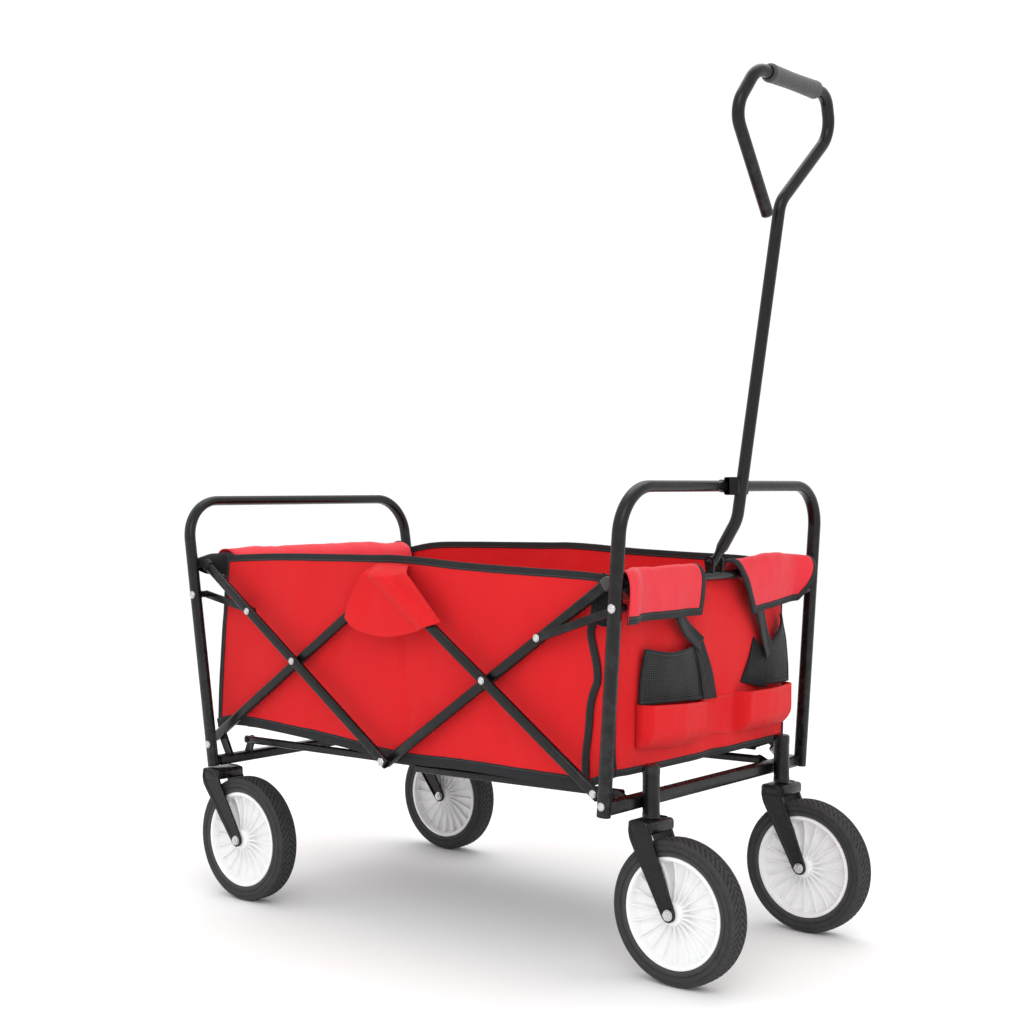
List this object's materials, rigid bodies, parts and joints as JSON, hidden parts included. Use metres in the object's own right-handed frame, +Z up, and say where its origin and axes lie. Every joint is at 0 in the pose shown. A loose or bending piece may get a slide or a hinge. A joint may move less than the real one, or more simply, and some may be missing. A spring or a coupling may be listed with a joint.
{
  "type": "folding camp wagon",
  "caption": "Folding camp wagon with a steel scissor frame, fabric basket, front casters and a bent-tube pull handle with a foam grip.",
  "frame": {"origin": "on the ground, under the middle of the wagon's overall length and width", "axes": "+X towards the front, where the casters and the pull handle are; +Y to the wagon's left; +Z up"},
  "size_m": [0.9305, 0.4916, 1.1131],
  "materials": {
    "black_steel": "black powder coat, semi-gloss",
    "bright_steel": "zinc plated",
    "wheel_plastic": "natural white moulding",
    "tyre": "foamed black, matt",
    "grey_plastic": "black moulding",
    "grip_foam": "foam sleeve, matt",
    "cloth": "woven polyester"
  },
  "bodies": {
    "rear_end": {"rear_frame": "black_steel", "rear_cross_tube": "black_steel", "rear_top_rail": "black_steel", "rear_fork_left": "black_steel", "rear_fork_right": "black_steel", "rear_axle_left": "bright_steel", "rear_axle_right": "bright_steel", "rear_panel": "cloth", "rear_flap": "cloth", "floor_panel": "cloth", "side_panel_left": "cloth", "side_panel_right": "cloth", "joint_flap_left": "cloth", "joint_flap_right": "cloth"},
    "front_end": {"front_frame": "black_steel", "front_cross_tube": "black_steel", "front_top_rail": "black_steel", "handle_clip": "grey_plastic", "caster_housing_left": "black_steel", "caster_housing_right": "black_steel", "front_panel": "cloth", "front_flap_left": "cloth", "front_flap_right": "cloth", "front_pockets": "cloth"},
    "floor_rear": {"floor_brace_rear_left": "black_steel", "floor_brace_rear_right": "black_steel", "floor_hinge_rod": "black_steel"},
    "floor_front": {"floor_brace_front_left": "black_steel", "floor_brace_front_right": "black_steel"},
    "handle": {"handle_shaft": "black_steel", "handle_bolt": "bright_steel", "handle_grip": "grip_foam"},
    "arm_rear_low_left": {"arm_rear_low_left": "black_steel"},
    "arm_rear_high_left": {"arm_rear_high_left": "black_steel", "arm_cap_rear_left": "grey_plastic"},
    "arm_front_low_left": {"arm_front_low_left": "black_steel"},
    "arm_front_high_left": {"arm_front_high_left": "black_steel", "arm_cap_front_left": "grey_plastic"},
    "link_front_left": {"link_front_left": "black_steel"},
    "link_rear_left": {"link_rear_left": "black_steel"},
    "rear_wheel_left": {"rear_rim_left": "wheel_plastic", "rear_tyre_left": "tyre"},
    "caster_left": {"caster_fork_left": "black_steel", "front_axle_left": "bright_steel"},
    "front_wheel_left": {"front_rim_left": "wheel_plastic", "front_tyre_left": "tyre"},
    "arm_rear_low_right": {"arm_rear_low_right": "black_steel"},
    "arm_rear_high_right": {"arm_rear_high_right": "black_steel", "arm_cap_rear_right": "grey_plastic"},
    "arm_front_low_right": {"arm_front_low_right": "black_steel"},
    "arm_front_high_right": {"arm_front_high_right": "black_steel", "arm_cap_front_right": "grey_plastic"},
    "link_front_right": {"link_front_right": "black_steel"},
    "link_rear_right": {"link_rear_right": "black_steel"},
    "rear_wheel_right": {"rear_rim_right": "wheel_plastic", "rear_tyre_right": "tyre"},
    "caster_right": {"caster_fork_right": "black_steel", "front_axle_right": "bright_steel"},
    "front_wheel_right": {"front_rim_right": "wheel_plastic", "front_tyre_right": "tyre"}
  },
  "joints": [
    {"name": "fold_left", "type": "hinge", "parent": "rear_end", "child": "arm_rear_low_left", "pos_m": [-0.41285, 0.2075, 0.231], "axis": [0, -1, 0], "range_deg": [0, 43.78], "deforming": ["floor_panel", "side_panel_left", "side_panel_right", "joint_flap_left", "joint_flap_right"]},
    {"name": "crossing_rear_left", "type": "hinge", "parent": "arm_rear_low_left", "child": "arm_rear_high_left", "pos_m": [-0.23535, 0.2185, 0.354], "axis": [0, -1, 0], "range_deg": [-87.57, 0]},
    {"name": "top_joint_left", "type": "hinge", "parent": "arm_rear_low_left", "child": "arm_front_low_left", "pos_m": [-0.05785, 0.2185, 0.477], "axis": [0, -1, 0], "range_deg": [-87.57, 0]},
    {"name": "crossing_front_left", "type": "hinge", "parent": "arm_front_low_left", "child": "arm_front_high_left", "pos_m": [0.11965, 0.2075, 0.354], "axis": [0, -1, 0], "range_deg": [0, 87.57]},
    {"name": "corner_rear_right", "type": "hinge", "parent": "rear_end", "child": "arm_rear_low_right", "pos_m": [-0.41285, -0.2075, 0.231], "axis": [0, -1, 0], "range_deg": [0, 43.79]},
    {"name": "crossing_rear_right", "type": "hinge", "parent": "arm_rear_low_right", "child": "arm_rear_high_right", "pos_m": [-0.23535, -0.2185, 0.354], "axis": [0, -1, 0], "range_deg": [-87.57, 0]},
    {"name": "top_joint_right", "type": "hinge", "parent": "arm_rear_low_right", "child": "arm_front_low_right", "pos_m": [-0.05785, -0.2185, 0.477], "axis": [0, -1, 0], "range_deg": [-87.57, 0]},
    {"name": "crossing_front_right", "type": "hinge", "parent": "arm_front_low_right", "child": "arm_front_high_right", "pos_m": [0.11965, -0.2075, 0.354], "axis": [0, -1, 0], "range_deg": [0, 87.57]},
    {"name": "corner_front", "type": "hinge", "parent": "arm_front_low_left", "child": "front_end", "pos_m": [0.29715, 0.2185, 0.231], "axis": [0, -1, 0], "range_deg": [0, 43.79]},
    {"name": "link_front_pivot_left", "type": "hinge", "parent": "front_end", "child": "link_front_left", "pos_m": [0.33604, 0.2148, 0.457], "axis": [0, -1, 0], "range_deg": [-86.08, 0]},
    {"name": "link_rear_pivot_left", "type": "hinge", "parent": "rear_end", "child": "link_rear_left", "pos_m": [-0.43456, 0.2112, 0.44], "axis": [0, -1, 0], "range_deg": [0, 75.41]},
    {"name": "link_front_pivot_right", "type": "hinge", "parent": "front_end", "child": "link_front_right", "pos_m": [0.33604, -0.2148, 0.457], "axis": [0, -1, 0], "range_deg": [-86.08, 0]},
    {"name": "link_rear_pivot_right", "type": "hinge", "parent": "rear_end", "child": "link_rear_right", "pos_m": [-0.43456, -0.2112, 0.44], "axis": [0, -1, 0], "range_deg": [0, 75.41]},
    {"name": "floor_rear_pivot", "type": "hinge", "parent": "rear_end", "child": "floor_rear", "pos_m": [-0.38335, 0, 0.2225], "axis": [0, -1, 0], "range_deg": [0, 77.62]},
    {"name": "floor_front_pivot", "type": "hinge", "parent": "front_end", "child": "floor_front", "pos_m": [0.29265, 0, 0.2225], "axis": [0, -1, 0], "range_deg": [-77.62, 0]},
    {"name": "handle_pivot", "type": "hinge", "parent": "front_end", "child": "handle", "pos_m": [0.32565, 0, 0.5035], "axis": [0, 1, 0], "range_deg": [0, 105]},
    {"name": "caster_swivel_left", "type": "hinge", "parent": "front_end", "child": "caster_left", "pos_m": [0.33525, 0.155, 0.1885], "axis": [0, 0, 1], "continuous": true},
    {"name": "front_wheel_spin_left", "type": "hinge", "parent": "caster_left", "child": "front_wheel_left", "pos_m": [0.37625, 0.155, 0.089], "axis": [0, 1, 0], "continuous": true},
    {"name": "rear_wheel_spin_left", "type": "hinge", "parent": "rear_end", "child": "rear_wheel_left", "pos_m": [-0.33405, 0.217, 0.089], "axis": [0, 1, 0], "continuous": true},
    {"name": "caster_swivel_right", "type": "hinge", "parent": "front_end", "child": "caster_right", "pos_m": [0.33525, -0.155, 0.1885], "axis": [0, 0, 1], "continuous": true},
    {"name": "front_wheel_spin_right", "type": "hinge", "parent": "caster_right", "child": "front_wheel_right", "pos_m": [0.37625, -0.155, 0.089], "axis": [0, 1, 0], "continuous": true},
    {"name": "rear_wheel_spin_right", "type": "hinge", "parent": "rear_end", "child": "rear_wheel_right", "pos_m": [-0.33405, -0.217, 0.089], "axis": [0, 1, 0], "continuous": true}
  ],
  "couplings": [
    {"joint": "crossing_rear_left", "follows": "fold_left", "ratio": -2},
    {"joint": "top_joint_left", "follows": "fold_left", "ratio": -2},
    {"joint": "crossing_front_left", "follows": "fold_left", "ratio": 2},
    {"joint": "corner_rear_right", "follows": "fold_left", "ratio": 1},
    {"joint": "crossing_rear_right", "follows": "fold_left", "ratio": -2},
    {"joint": "top_joint_right", "follows": "fold_left", "ratio": -2},
    {"joint": "crossing_front_right", "follows": "fold_left", "ratio": 2},
    {"joint": "corner_front", "follows": "fold_left", "ratio": 1},
    {"joint": "link_front_pivot_left", "follows": "fold_left", "ratio": -1.9661},
    {"joint": "link_rear_pivot_left", "follows": "fold_left", "ratio": 1.7222},
    {"joint": "link_front_pivot_right", "follows": "fold_left", "ratio": -1.9661},
    {"joint": "link_rear_pivot_right", "follows": "fold_left", "ratio": 1.7222},
    {"joint": "floor_rear_pivot", "follows": "fold_left", "ratio": 1.7727},
    {"joint": "floor_front_pivot", "follows": "fold_left", "ratio": -1.7727}
  ]
}
